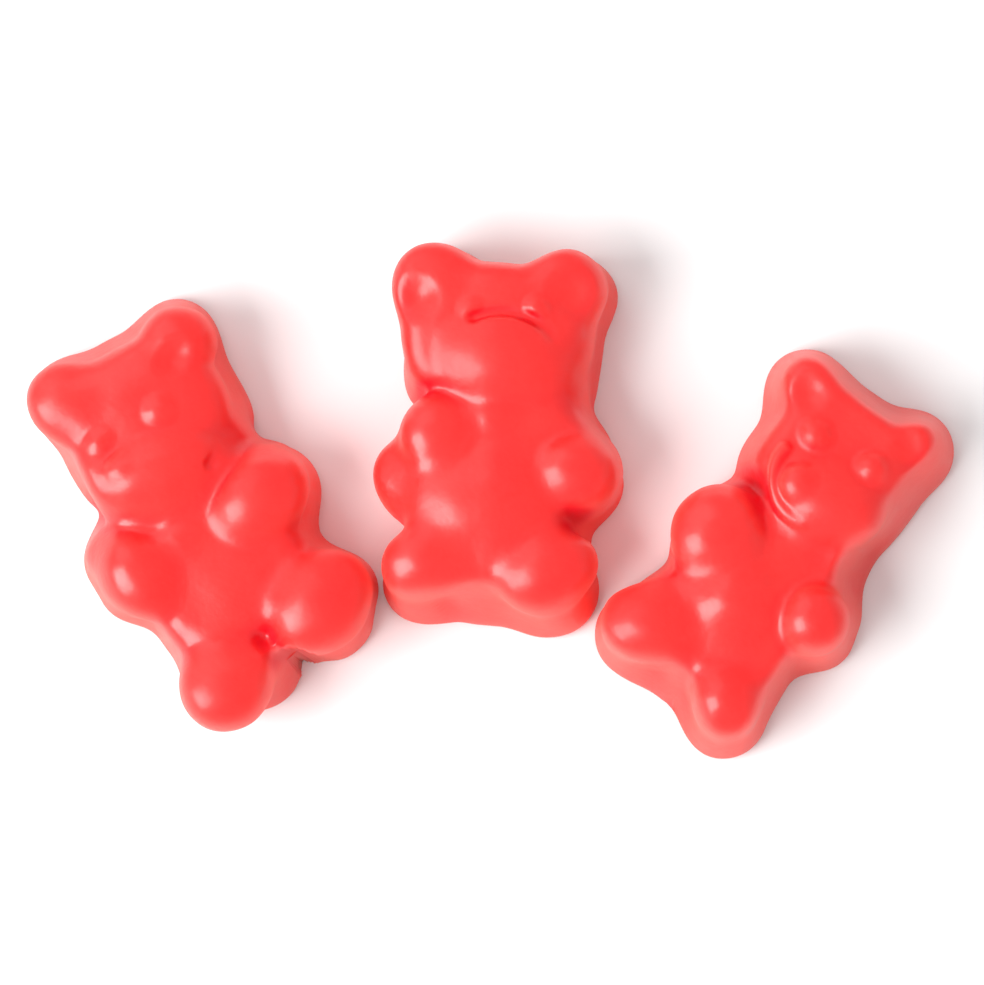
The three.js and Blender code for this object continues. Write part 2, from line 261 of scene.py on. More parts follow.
def bear_form(x, y, z, bear):
    """Soft minimum of slab and domes, soft maximum with the dents and with the flat back."""
    edge = outline(x, y, bear)
    side = edge + z * side_lean(x, y, bear)
    form = smooth_max(side, z - level_height(x, y, bear), bear["shoulder"])
    for *shape, fillet in bear["domes"].values():
        form = smooth_min(form, egg(x, y, z, shape), fillet)
    for *shape, fillet in bear["dents"].values():
        form = smooth_max(form, -egg(x, y, z, shape), fillet)
    for *shape, fillet in bear["ridges"]:
        form = smooth_min(form, arc_tube(x, y, z, shape), fillet)
    for *shape, fillet in bear["grooves"]:
        form = smooth_max(form, -arc_tube(x, y, z, shape), fillet)
    form = form + ripple(x, y, z)
    hollow = BACK_HOLLOW * np.clip((-edge - BACK_RIM) / BACK_RIM_FADE, 0, 1) ** 2
    return smooth_max(form, hollow - z, BACK_EDGE_ROUND)


print("the back is hollowed by", BACK_HOLLOW, "mm inside a rim of", BACK_RIM, "mm")


# %% [markdown]
# ## The three bears
# All three come from moulds of one pattern, yet no two are alike: one lies slanted with its
# head to the left, one stands straight and square, one leans the other way with its legs out.
# Copies of one mesh could be bent with lattices. Here every bear is a list of named sizes for
# the same formulas, so each paw, foot, ear and eye can be set on its own. Lengths are in
# millimetres, angles in degrees.
#
# - place: x and y in the row, and the turn. lean: how far the top slides for each millimetre up.
# - spine: both ends of a line inside the bear, from which its skin is found.
# - draft: how steeply the side leans in. shoulder: the fillet between side and top.
# - web_height and face_height: the two levels of the top. face_slope and face_edge: how the
#   plate under the face falls off, and its fillet. neck_fillet: the one from head to torso.
# - head, torso, face: centre, half width, half length, widening towards the ears.
#   head_squareness: 2 would be an ellipse, and more is squarer.
# - ears: centre and radius. limbs: two ends, each with its radius.
# - upright: centre, reach and amount of a patch where the side stands steeper or slopes more.
# - mounds: centre, half width, half length and rise of a swelling or a valley in the top.
# - domes and dents: centre, three radii, turn and fillet.
# - ridges and grooves: centre, radius, first and last angle, tube radius and fillet.

# %% Bears
LEFT_BEAR = {
    "place": [-15.94, -1.09, 29.3],
    "lean": [-0.10, 0.05],
    "spine": [0.2, -6.8, 0.2, 6.4],
    "draft": 12.5,
    "shoulder": 1.2,
    "neck_fillet": 1.3,
    "head": [0.25, 6.9, 5.6, 4.75, 0],
    "head_squareness": 4.5,
    "torso": [0.0, -3.0, 5.5, 6.2, 0],
    "ears": [[-3.0, 9.45, 2.35], [3.7, 9.55, 2.25]],
    "limbs": {
        "arm_left": [-4.7, 0.0, 2.6, -4.6, -1.3, 2.65],
        "arm_right": [4.25, -0.7, 2.75, 4.0, -0.4, 2.8],
        "leg_left": [-3.2, -8.6, 2.45, -1.5, -9.0, 2.3],
        "leg_right": [3.5, -8.2, 2.7, 4.5, -7.2, 2.5],
        "crotch": [-0.4, -8.9, 1.9, 0.9, -8.7, 1.4],
    },
    "upright": [[6.5, -0.5, 3, 0.6], [7, -7.5, 3, 0.6], [0, 11, 5, -1.3], [0.4, -10.5, 2.6, -1.0]],
    "web_height": 4.9,
    "mounds": [[0.4, -3.6, 4.6, 6.0, 0.6], [-7.2, 6.5, 2.8, 5.0, -1.6]],
    "face": [0.1, 5.9, 4.9, 5.1, 0.03],
    "face_height": 5.2,
    "face_slope": 1.2,
    "face_edge": 1.0,
    "domes": {
        "brow": [0.6, 6.0, 4.3, 4.3, 3.9, 1.8, 0, 1.2],
        "ear_left": [-3.0, 8.7, 4.3, 2.15, 2.2, 1.4, 0, 1.2],
        "ear_right": [3.9, 8.6, 4.1, 2.2, 2.1, 1.8, 0, 0.4],
        "chest": [-1.2, -1.1, 4.9, 0.9, 0.8, 0.6, 0, 1.0],
        "paw_left": [-4.1, -1.7, 4.5, 2.0, 2.6, 1.9, 0, 0.9],
        "paw_right": [3.7, -1.3, 4.8, 2.8, 2.3, 1.9, 10, 0.7],
        "foot_left": [-3.0, -9.6, 4.3, 2.4, 2.2, 1.9, 0, 1.8],
        "foot_right": [3.8, -8.0, 4.5, 3.0, 2.5, 2.0, 20, 1.1],
        "neck_right": [3.8, 2.8, 2.4, 1.1, 1.5, 1.9, 0, 1.0],
        "chin": [-0.3, 2.3, 4.2, 4.0, 2.6, 2.2, -8, 0.8],
        "muzzle": [-0.4, 2.9, 4.9, 3.4, 2.1, 2.0, -8, 0.6],
        "cheek": [-3.3, 4.2, 4.7, 0.8, 1.5, 1.2, 0, 1.0],
        "nose": [-1.9, 3.7, 5.9, 0.9, 0.6, 0.75, 0, 0.5],
        "eye_left": [-2.3, 5.6, 5.5, 0.6, 0.55, 0.5, 0, 0.6],
        "eye_right": [1.35, 5.5, 5.6, 0.9, 0.85, 0.8, 0, 0.45],
    },
    "dents": {
        "ear_right": [3.6, 7.7, 7.2, 1.7, 1.3, 1.8, 0, 0.35],
    },
    "ridges": [],
    "grooves": [
        [0.6, 5.0, 5.9, 3.9, -62, -15, 0.25, 0.4],
    ],
}

MIDDLE_BEAR = {
    "place": [0.59, 3.38, -4.3],
    "lean": [-0.17, 0.06],
    "spine": [0.6, -6.6, 0.2, 5.2],
    "draft": 12,
    "shoulder": 0.8,
    "neck_fillet": 1.2,
    "head": [0.0, 5.2, 5.75, 4.3, 0.012],
    "head_squareness": 6,
    "torso": [0.6, -4.3, 5.1, 6.5, 0],
    "ears": [[-3.5, 7.95, 2.7], [3.85, 8.55, 2.15]],
    "limbs": {
        "arm_left": [-4.05, -2.7, 2.2, -2.8, -0.8, 2.1],
        "arm_right": [4.85, -2.2, 2.5, 4.3, -0.9, 2.5],
        "leg_left": [-3.55, -8.5, 2.35, -2.6, -7.7, 2.0],
        "leg_right": [3.75, -8.3, 2.65, 3.2, -7.4, 2.6],
    },
    "upright": [[-6, -2, 3, 0.4], [6, -2, 3, 0.3], [-0.5, -11, 3.6, -0.9]],
    "web_height": 5.0,
    "mounds": [[1.0, -4.2, 3.1, 3.8, 1.6], [-6.6, -3.0, 2.6, 4.2, -1.8]],
    "face": [0.2, 6.2, 5.6, 5.2, 0.03],
    "face_height": 5.3,
    "face_slope": 0.8,
    "face_edge": 1.0,
    "domes": {
        "brow": [0.3, 5.5, 4.1, 5.0, 3.3, 1.9, 0, 2.0],
        "ear_left": [-3.4, 7.5, 4.3, 2.25, 2.2, 1.4, 0, 1.0],
        "ear_right": [4.0, 8.0, 4.3, 2.1, 2.0, 1.4, 0, 1.0],
        "chest": [0.5, 0.3, 4.9, 1.0, 0.7, 0.8, 0, 1.0],
        "paw_left": [-2.5, -0.8, 4.4, 2.15, 2.35, 2.0, 0, 0.8],
        "elbow_right": [5.4, -2.0, 3.2, 2.1, 2.4, 2.2, 0, 0.8],
        "paw_right": [5.2, -2.3, 4.6, 2.3, 2.0, 1.8, 0, 0.7],
        "foot_left": [-2.6, -7.8, 4.4, 2.4, 1.9, 1.8, 0, 1.0],
        "foot_right": [4.1, -7.8, 4.5, 2.8, 2.1, 1.9, 30, 0.9],
        "chin": [1.4, 1.4, 3.0, 3.5, 2.3, 2.2, 0, 1.8],
        "muzzle": [0.8, 3.8, 4.9, 3.3, 2.6, 2.1, 0, 0.9],
        "eye_left": [-1.0, 6.1, 5.7, 0.7, 0.65, 0.65, 0, 0.4],
        "eye_right": [2.6, 6.4, 5.7, 0.75, 0.7, 0.75, 0, 0.35],
        "side_left": [-1.2, -4.2, 3.9, 2.8, 2.8, 2.2, -10, 1.2],
        "elbow_left": [-4.0, -3.1, 2.8, 2.1, 2.2, 1.6, 0, 1.2],
    },
    "dents": {
        "ear_left": [-4.2, 6.6, 7.2, 1.3, 1.3, 1.8, 0, 0.8],
        "ear_right": [4.6, 7.4, 7.4, 1.5, 1.5, 2.0, 0, 0.8],
    },
    "ridges": [],
    "grooves": [
        [1.0, 2.3, 6.3, 3.75, 46, 118, 0.2, 0.5],
    ],
}

RIGHT_BEAR = {
    "place": [16.56, -2.21, -35],
    "lean": [-0.02, 0],
    "spine": [0.1, -7.6, 0.3, 4.8],
    "draft": 13.5,
    "shoulder": 0.8,
    "neck_fillet": 1.5,
    "head": [0.15, 5.2, 5.25, 4.6, 0],
    "head_squareness": 4.5,
    "torso": [0.2, -4.8, 4.8, 6.9, 0],
    "ears": [[-3.85, 7.5, 2.4], [3.0, 8.35, 2.25]],
    "limbs": {
        "arm_left": [-3.25, -2.6, 2.3, -3, -1.4, 2.35],
        "arm_right": [4.35, -3.3, 2.4, 4.1, -2.2, 2.4],
        "leg_left": [-3.65, -9.2, 2.55, -2.9, -7.3, 2.4],
        "leg_right": [2.9, -10.25, 2.45, 2.3, -8.2, 2.2],
        "neck_right": [2.9, 0.5, 2.2, 3.2, -2, 2.3],
    },
    "upright": [
        [-6, -1.5, 3, 0.8],
        [-6.5, -8, 2.5, 0.7],
        [5, 0.6, 2.6, -1.0],
        [5.5, 5, 4, -0.5],
        [-0.5, -12, 3.6, -0.8],
        [0, 10, 3, -0.5],
    ],
    "web_height": 4.7,
    "mounds": [[-0.3, -4.8, 2.6, 2.6, 1.5]],
    "face": [0.1, 5.3, 4.25, 4.6, 0.06],
    "face_height": 5.1,
    "face_slope": 1.0,
    "face_edge": 1.0,
    "domes": {
        "paw_left": [-3.05, -2.4, 4.4, 2.6, 2.65, 1.9, 0, 0.7],
        "paw_right": [4.0, -3.2, 4.5, 1.95, 1.95, 1.9, 0, 0.6],
        "foot_left": [-3.2, -8.6, 4.2, 2.5, 2.0, 1.9, 30, 1.1],
        "foot_right": [2.5, -9.6, 3.8, 1.8, 1.8, 1.9, 0, 0.9],
        "chin": [0.9, 2.4, 3.2, 2.9, 2.4, 2.8, 10, 1.5],
        "muzzle": [0.9, 2.7, 4.3, 3.1, 1.95, 1.8, 10, 0.8],
        "nose": [-0.9, 2.4, 5.5, 1.05, 1.05, 0.85, 0, 0.4],
        "eye_left": [-1.7, 5.2, 4.9, 0.9, 0.85, 0.85, 0, 0.45],
        "eye_right": [1.85, 5.4, 4.9, 0.95, 0.9, 0.9, 0, 0.45],
    },
    "dents": {
        "ear_left": [-3.5, 6.9, 6.6, 1.5, 1.4, 1.8, 0, 0.5],
        "ear_right": [3.1, 7.3, 6.6, 1.4, 1.5, 1.8, 0, 0.5],
    },
    "ridges": [
        [-0.2, 3.25, 5.2, 2.55, 172, 285, 0.3, 0.35],
    ],
    "grooves": [],
}

BEARS = {"bear_left": LEFT_BEAR, "bear_middle": MIDDLE_BEAR, "bear_right": RIGHT_BEAR}
print("swellings on each bear", {name: len(bear["domes"]) for name, bear in BEARS.items()})

# %% [markdown]
# ## From a form to a skin
# A form has no surface until it is met somewhere. Marching cubes would give small random
# triangles. Here the skin is a grid instead: columns run round a flat core inside the bear
# and rows fan from above the core, round the side, to below it. Each grid point follows its
# ray out of the core to where the form turns from negative to positive.

# %% Grid of rays
CORE_HEIGHT = 2.5
CORE_HALF_WIDTH = 2.7
STATIONS = 210
END_COLUMNS = 105
TOP_ROWS = 44
SIDE_ROWS = 92
UNDER_ROWS = 12


def column_stations():
    """Station on the spine for each column: right side, head end, left side, feet end."""
    side = np.arange(STATIONS)
    head_end = np.full(END_COLUMNS, STATIONS - 1)
    feet_end = np.zeros(END_COLUMNS, int)
    return np.concatenate([side, head_end, side[::-1], feet_end])


def core_columns(bear):
    """Point on the spine and level way out for each column, from the way's angle."""
    turn = np.arange(1, END_COLUMNS + 1) / (END_COLUMNS + 1)
    right, left = np.zeros(STATIONS), np.full(STATIONS, math.pi)
    angle = np.concatenate([right, math.pi * turn, left, math.pi * (1 + turn)])
    x0, y0, x1, y1 = bear["spine"]
    length = math.hypot(x1 - x0, y1 - y0)
    ahead_x, ahead_y = (x1 - x0) / length, (y1 - y0) / length
    share = column_stations() / (STATIONS - 1)
    out_x = ahead_y * np.cos(angle) + ahead_x * np.sin(angle)
    out_y = -ahead_x * np.cos(angle) + ahead_y * np.sin(angle)
    return x0 + (x1 - x0) * share, y0 + (y1 - y0) * share, out_x, out_y


def core_rows():
    """How far out on the core each row starts, and the lift of its rays above level, in radians."""
    top = CORE_HALF_WIDTH * np.arange(1, TOP_ROWS) / TOP_ROWS
    lift = math.pi * (0.5 - np.arange(SIDE_ROWS + 1) / SIDE_ROWS)
    under = CORE_HALF_WIDTH * np.arange(UNDER_ROWS - 1, 0, -1) / UNDER_ROWS
    outs = np.concatenate([top, np.full(SIDE_ROWS + 1, CORE_HALF_WIDTH), under])
    straight_up, straight_down = np.full(len(top), math.pi / 2), np.full(len(under), -math.pi / 2)
    return outs, np.concatenate([straight_up, lift, straight_down])


print("grid of", 2 * (STATIONS + END_COLUMNS), "columns by", len(core_rows()[0]), "rows")


# %% Follow the rays out
STEP_OUT = 0.3
FARTHEST = 9.0
HALVINGS = 12


def follow_out(start, way, bear):
    """March each ray by STEP_OUT to its first point outside, then halve that last step."""
    inside = np.zeros(len(start))
    going = np.arange(len(start))
    while len(going) and inside[going].max() < FARTHEST:
        ahead = start[going] + (inside[going] + STEP_OUT)[:, None] * way[going]
        still = bear_form(*ahead.T, bear) < 0
        inside[going[still]] += STEP_OUT
        going = going[still]
    outside = inside + STEP_OUT
    for _ in range(HALVINGS):
        middle = (inside + outside) / 2
        within = bear_form(*(start + middle[:, None] * way).T, bear) < 0
        inside = np.where(within, middle, inside)
        outside = np.where(within, outside, middle)
    return start + outside[:, None] * way


print("each point is found to within", round(STEP_OUT / 2**HALVINGS, 5), "mm")


# %% The skin of one bear, and how its points join
def skin_points(bear):
    """Keel line above, every row of every column, keel line below: one array of points."""
    x, y, out_x, out_y = core_columns(bear)
    outs, lifts = core_rows()
    out, lift = outs[:, None], lifts[:, None]
    level = np.full((len(outs), len(x)), CORE_HEIGHT)
    start = np.stack([x + out * out_x, y + out * out_y, level], -1).reshape(-1, 3)
    rise = np.sin(lift) + 0 * out_x
    way = np.stack([out_x * np.cos(lift), out_y * np.cos(lift), rise], -1).reshape(-1, 3)
    keel = np.stack([x[:STATIONS], y[:STATIONS], level[0, :STATIONS]], -1)
    up = np.tile([0.0, 0.0, 1.0], (STATIONS, 1))
    return follow_out(np.concatenate([keel, start, keel]), np.concatenate([up, way, -up]), bear)


def skin_triangles():
    """Two triangles for each cell between neighbouring rows, one where a side has no length."""
    station, row_count = column_stations(), len(core_rows()[0])
    columns = len(station)
    rows = STATIONS + np.arange(row_count * columns).reshape(row_count, columns)
    levels = np.concatenate([station[None], rows, (station + STATIONS + row_count * columns)[None]])
    upper, lower = levels[:-1], levels[1:]
    upper_next, lower_next = np.roll(upper, -1, 1), np.roll(lower, -1, 1)
    first = np.stack([upper, lower, lower_next], -1)[lower != lower_next]
    second = np.stack([upper, lower_next, upper_next], -1)[upper != upper_next]
    return np.concatenate([first, second])


skins = {name: skin_points(bear) for name, bear in BEARS.items()}
triangles = skin_triangles()
print("points in each skin", {name: len(points) for name, points in skins.items()})
print("all three share the same", len(triangles), "triangles")


# %% [markdown]
# ## Laying the bears in their row
# Each bear came out of its mould a little sheared, so its top leans to one side. It is then
# turned and moved to its place. The whole row is moved once more so that its footprint is
# centred, as the frame's is.

# %% Lean, turn and place
FLAT_BELOW = 0.002
IN_PLAN = (1, 1, 0)


def into_row(points, bear):
    """x += lean_x z, y += lean_y z, then a turn about z and a shift. The rim lies at z = 0."""
    x, y, z = points.T
    z = np.where(z < FLAT_BELOW, 0.0, z)
    leaning_x, leaning_y = x + bear["lean"][0] * z, y + bear["lean"][1] * z
    place_x, place_y, turn = bear["place"]
    c, s = math.cos(math.radians(turn)), math.sin(math.radians(turn))
    row_x = place_x + leaning_x * c - leaning_y * s
    row_y = place_y + leaning_x * s + leaning_y * c
    return np.stack([row_x, row_y, z], -1)


placed = {name: into_row(skins[name], BEARS[name]) for name in BEARS}
everything = np.concatenate(list(placed.values()))
row_centre = (everything.min(0) + everything.max(0)) / 2 * IN_PLAN
cad_centre = np.array((cad_box[0] + cad_box[1]) / 2) / MM * IN_PLAN
row_shift = cad_centre - row_centre
print("the row is", np.ptp(everything, axis=0).round(2), "mm, moved by", row_shift.round(3), "mm")

# %% [markdown]
# ## Where light and shade are painted into the colour
# Milky jelly looks palest on the side walls, where light comes in from the table, and reddest
# in the creases, where shade falls. Both are painted into the colour: painted pale light on the
# walls, painted crimson shade in the creases. Vertex paint would do, but would have to be
# redone with every change of shape. The formulas know the shape, so two numbers are worked out
# at each point of the skin and kept with the mesh for the material to read: how much the skin
# is a wall, and how deep it lies in a crease.

# %% Wall and crease
FEEL_OUT = 1.2
SLOPE_STEP = 0.02
LEAST_LENGTH = 1e-12
STEEP_WALL = 0.5


def outward(points, bear):
    """Unit slope of the form, (form(p + step) - form(p)) along each axis."""
    x, y, z = points.T
    here = bear_form(x, y, z, bear)
    slope = np.stack([
        bear_form(x + SLOPE_STEP, y, z, bear) - here,
        bear_form(x, y + SLOPE_STEP, z, bear) - here,
        bear_form(x, y, z + SLOPE_STEP, bear) - here,
    ], -1)
    return slope / (np.linalg.norm(slope, axis=1, keepdims=True) + LEAST_LENGTH)


def crease_depth(points, normals, bear):
    """1 - form(p + h n) / h: zero on a plane, positive in a crease, negative on a ridge."""
    felt = points + FEEL_OUT * normals
    return 1 - bear_form(*felt.T, bear) / FEEL_OUT


def skin_marks(name):
    """wall = 1 - upward part of the normal, and the crease depth, both kept in bounds."""
    points, bear = skins[name], BEARS[name]
    normals = outward(points, bear)
    return {
        # The wall mark drives the painted pale light and extra roughness, the crease mark the painted
        # crimson shade.
        "wall": np.clip(1 - normals[:, 2], 0, 1),
        "crease": np.clip(crease_depth(points, normals, bear), -1, 1),
    }


marks = {name: skin_marks(name) for name in BEARS}
wall_shares = {name: float((mark["wall"] > STEEP_WALL).mean()) for name, mark in marks.items()}
print("share of wall", {name: round(share, 2) for name, share in wall_shares.items()})

# %% [markdown]
# ## A mesh from arrays
# Points and triangles are already whole arrays, so they go into the mesh in one call each.
# from_pydata would walk through them one by one, which is slow for ninety thousand points.
# The marks are stored as attributes beside them.

# %% Fill a mesh
def put_in_scene(name, data):
    """An object at the origin, unturned and unscaled, that shows the data."""
    thing = bpy.data.objects.new(name, data)
    bpy.context.scene.collection.objects.link(thing)
    return thing


def fill_mesh(name, points, triangles, skin_mark):
    """Points, corners and face starts as flat arrays, then one value a point for every mark."""
    mesh = bpy.data.meshes.new(name)
    mesh.vertices.add(len(points))
    mesh.vertices.foreach_set("co", points.astype(np.float32).ravel())
    mesh.loops.add(triangles.size)
    mesh.loops.foreach_set("vertex_index", triangles.astype(np.int32).ravel())
    mesh.polygons.add(len(triangles))
    mesh.polygons.foreach_set("loop_start", np.arange(0, triangles.size, 3, dtype=np.int32))
    mesh.update(calc_edges=True)
    mesh.shade_smooth()
    for mark, values in skin_mark.items():
        layer = mesh.attributes.new(mark, "FLOAT", "POINT")
        layer.data.foreach_set("value", values.astype(np.float32))
    return put_in_scene(name, mesh)


print("one skin has", triangles.size, "triangle corners")

# %% [markdown]
# ## The look of milky jelly
# Gelatine sweets of this kind are cloudy, not clear: light goes a few millimetres in, is
# scattered, and comes out red. The body is a warm red; the walls and rims are painted a paler
# pink that stands for light from the table, and the folds between paws and belly are painted
# crimson as shade. The skin is polished with a trace of oil and wax, which is smeared, so its
# shine is soft in one place and sharper in the next.
#
# A glass shader with a coloured volume would look like clear candy and be slow to render.
# A plain paint would look like plastic. So the colour comes from a node group that mixes
# three colours, the body red, a painted pale light for the walls and a painted crimson shade
# for the creases, by the marks and by soft clouds, and the glow comes from subsurface scattering.
# The group puts out only what changes over the skin: colour, roughness, oil and height.

# %% Sockets of the look
BODY_RED = (0.92, 0.018, 0.017)
# Painted pale light: this pink stands for light from the table on the steep walls; bright clouds also
# tint towards it at random.
WALL_LIGHT_AND_CLOUD_PINK = (0.95, 0.1, 0.08)
# Painted shade: this crimson darkens the creases where shade falls; dark clouds also tint towards it at
# random.
CREASE_SHADE_AND_CLOUD_CRIMSON = (0.76, 0.002, 0.012)
# The scale of a noise on Object coordinates counts patches in a metre: at 300 one is about 3 mm.
CLOUDS_A_METRE, SMEARS_A_METRE, GRAINS_A_METRE = 300, 200, 2500


def value_in(tree, name, default):
    """A number that the group is given."""
    socket = tree.interface.new_socket(name, in_out="INPUT", socket_type="NodeSocketFloat")
    socket.default_value = default


def colour_in(tree, name, default):
    """A colour that the group is given."""
    socket = tree.interface.new_socket(name, in_out="INPUT", socket_type="NodeSocketColor")
    socket.default_value = (*default, 1)


def jelly_group():
    """The group with its named inputs and outputs, still empty."""
    tree = bpy.data.node_groups.new("cloudy_jelly", "ShaderNodeTree")
    colour_in(tree, "Body", BODY_RED)
    colour_in(tree, "Wall Light and Cloud Pink", WALL_LIGHT_AND_CLOUD_PINK)
    colour_in(tree, "Crease Shade and Cloud Crimson", CREASE_SHADE_AND_CLOUD_CRIMSON)
    value_in(tree, "Cloud Size", CLOUDS_A_METRE)
    value_in(tree, "Smear Size", SMEARS_A_METRE)
    value_in(tree, "Grain Size", GRAINS_A_METRE)
    tree.interface.new_socket("Colour", in_out="OUTPUT", socket_type="NodeSocketColor")
    for name in ("Roughness", "Oil", "Height"):
        tree.interface.new_socket(name, in_out="OUTPUT", socket_type="NodeSocketFloat")
    return tree


jelly_look = jelly_group()
print("the look is kept in a node group named", jelly_look.name)


# %% Small helpers for nodes
# A Mix node has its sockets once for each kind of value, so those for colours go by number.
MIX_ONE, MIX_OTHER, MIX_RESULT = 6, 7, 2
RANGE_SOCKETS = ("From Min", "From Max", "To Min", "To Max")


def add_node(tree, kind, **settings):
    """A node of one kind, with its settings."""
    node = tree.nodes.new(kind)
    for setting, value in settings.items():
        setattr(node, setting, value)
    return node


def cloud(tree, place, scale, detail):
    """Noise in Object coordinates: a soft value near 0.5 that drifts over the skin."""
    node = add_node(tree, "ShaderNodeTexNoise")
    node.inputs["Detail"].default_value = detail
    tree.links.new(place, node.inputs["Vector"])
    tree.links.new(scale, node.inputs["Scale"])
    return node.outputs["Fac"]


def spread(tree, value, low, high, to_low, to_high):
    """to_low up to low, to_high from high on, and a smooth step between them."""
    node = add_node(tree, "ShaderNodeMapRange", interpolation_type="SMOOTHSTEP")
    tree.links.new(value, node.inputs["Value"])
    for socket, number in zip(RANGE_SOCKETS, (low, high, to_low, to_high)):
        node.inputs[socket].default_value = number
    return node.outputs["Result"]


def sum_of(tree, one, other):
    """one + other."""
    node = add_node(tree, "ShaderNodeMath", operation="ADD")
    tree.links.new(one, node.inputs[0])
    tree.links.new(other, node.inputs[1])
    return node.outputs["Value"]


def blend(tree, share, one, other):
    """(1 - share) one + share other, for colours."""
    node = add_node(tree, "ShaderNodeMix", data_type="RGBA")
    tree.links.new(share, node.inputs["Factor"])
    tree.links.new(one, node.inputs[MIX_ONE])
    tree.links.new(other, node.inputs[MIX_OTHER])
    return node.outputs[MIX_RESULT]


print("helpers ready for", jelly_look.name)

# %% [markdown]
# ## What the group mixes
# Walls and rims take the painted pale light, a little more where a cloud is bright. Creases
# take the painted crimson shade, a little more where a cloud is dark. Smears set the roughness,
# and the thin coat of oil is strongest where the skin is smoothest. Grain and clouds together
# are the height, a few hundredths of a millimetre of dimples left by the starch.

# %% Nodes inside the group
CLOUD_DETAIL, SMEAR_DETAIL, GRAIN_DETAIL = 3, 5, 2
# Share of the painted pale wall light, set by the wall mark.
WALL_PAINTED_LIGHT = (0.1, 0.85, 0, 0.82)
CLOUD_PINK = (0.1, 0.9, 0, 0.18)
# Share of the painted crease shade, set by the crease mark.
CREASE_PAINTED_SHADE = (0.05, 0.75, 0, 0.92)
CLOUD_RED = (0.1, 0.9, 0.08, 0)
SMEAR_ROUGHNESS = (0.2, 0.8, 0.285, 0.46)
WALL_ROUGHNESS = (0.4, 0.9, 0, 0.3)
SMEAR_OIL = (0.2, 0.8, 0.35, 0.05)


def fill_jelly_group(tree):
    """Each row of four numbers above is a spread: from low, to high, gives low, gives high."""
    given = add_node(tree, "NodeGroupInput").outputs
    made = add_node(tree, "NodeGroupOutput").inputs
    place = add_node(tree, "ShaderNodeTexCoord").outputs["Object"]
    wall = add_node(tree, "ShaderNodeAttribute", attribute_name="wall").outputs["Fac"]
    crease = add_node(tree, "ShaderNodeAttribute", attribute_name="crease").outputs["Fac"]
    clouds = cloud(tree, place, given["Cloud Size"], CLOUD_DETAIL)
    smears = cloud(tree, place, given["Smear Size"], SMEAR_DETAIL)
    grain = cloud(tree, place, given["Grain Size"], GRAIN_DETAIL)
    # Painted pale light on the walls, plus a little random cloud tone.
    wall_light_and_cloud_share = sum_of(tree, spread(tree, wall, *WALL_PAINTED_LIGHT), spread(tree, clouds, *CLOUD_PINK))
    # Painted crimson shade in the creases, plus a little random cloud tone.
    crease_shade_and_cloud_share = sum_of(tree, spread(tree, crease, *CREASE_PAINTED_SHADE), spread(tree, clouds, *CLOUD_RED))
    body = blend(tree, wall_light_and_cloud_share, given["Body"], given["Wall Light and Cloud Pink"])
    tree.links.new(blend(tree, crease_shade_and_cloud_share, body, given["Crease Shade and Cloud Crimson"]), made["Colour"])
    rough = sum_of(tree, spread(tree, smears, *SMEAR_ROUGHNESS), spread(tree, wall, *WALL_ROUGHNESS))
    tree.links.new(rough, made["Roughness"])
    tree.links.new(spread(tree, smears, *SMEAR_OIL), made["Oil"])
    tree.links.new(sum_of(tree, grain, clouds), made["Height"])


fill_jelly_group(jelly_look)
print("the group holds", len(jelly_look.nodes), "nodes")

# %% [markdown]
# ## One material for all three bears
# They came out of one batch, so they share one material. The depth of the glow is the length
# that red light travels in the jelly, in millimetres. Green and blue go less than a fifth
# as far, and that is why thin rims glow pink and thick parts stay red. The steep walls are
# pinker still from the painted pale light in the group.

# %% Jelly material
DEPTH_OF_GLOW = 2.5
GLOW_OF_EACH_COLOUR = (1.0, 0.18, 0.14)
JELLY_IOR = 1.45
OIL_ROUGHNESS = 0.2
DIMPLE_STRENGTH = 0.4
DIMPLE_DEPTH = 0.05


def jelly_material():
    """The group drives colour, roughness, oil and bump. The rest is the same all over."""
    material = bpy.data.materials.new("cloudy_red_jelly")
    material.use_nodes = True
    tree = material.node_tree
    shader = tree.nodes["Principled BSDF"]
    look = add_node(tree, "ShaderNodeGroup", node_tree=jelly_look)
    # The painted wall light and the painted crease shade are mixed over the body red inside the group.
    look.inputs["Body"].default_value = (*BODY_RED, 1)
    look.inputs["Wall Light and Cloud Pink"].default_value = (*WALL_LIGHT_AND_CLOUD_PINK, 1)
    look.inputs["Crease Shade and Cloud Crimson"].default_value = (*CREASE_SHADE_AND_CLOUD_CRIMSON, 1)
    bump = add_node(tree, "ShaderNodeBump")
    bump.inputs["Strength"].default_value = DIMPLE_STRENGTH
    bump.inputs["Distance"].default_value = DIMPLE_DEPTH * MM
    tree.links.new(look.outputs["Colour"], shader.inputs["Base Color"])
    tree.links.new(look.outputs["Roughness"], shader.inputs["Roughness"])
    tree.links.new(look.outputs["Oil"], shader.inputs["Coat Weight"])
    tree.links.new(look.outputs["Height"], bump.inputs["Height"])
    tree.links.new(bump.outputs["Normal"], shader.inputs["Normal"])
    shader.inputs["Coat Roughness"].default_value = OIL_ROUGHNESS
    shader.inputs["IOR"].default_value = JELLY_IOR
    shader.inputs["Subsurface Weight"].default_value = 1.0
    shader.inputs["Subsurface Radius"].default_value = GLOW_OF_EACH_COLOUR
    shader.inputs["Subsurface Scale"].default_value = DEPTH_OF_GLOW * MM
    return material


jelly = jelly_material()
print(jelly.name, "holds", len(jelly.node_tree.nodes), "nodes")

# %% [markdown]
# ## Three closed skins in place of three plain solids
# The frame already holds a plain solid for each bear. A modifier could round that solid, but
# it has too few faces for eyes and creases. The new skin is made from the same sizes, stands
# exactly where the solid stood, and replaces it by name.

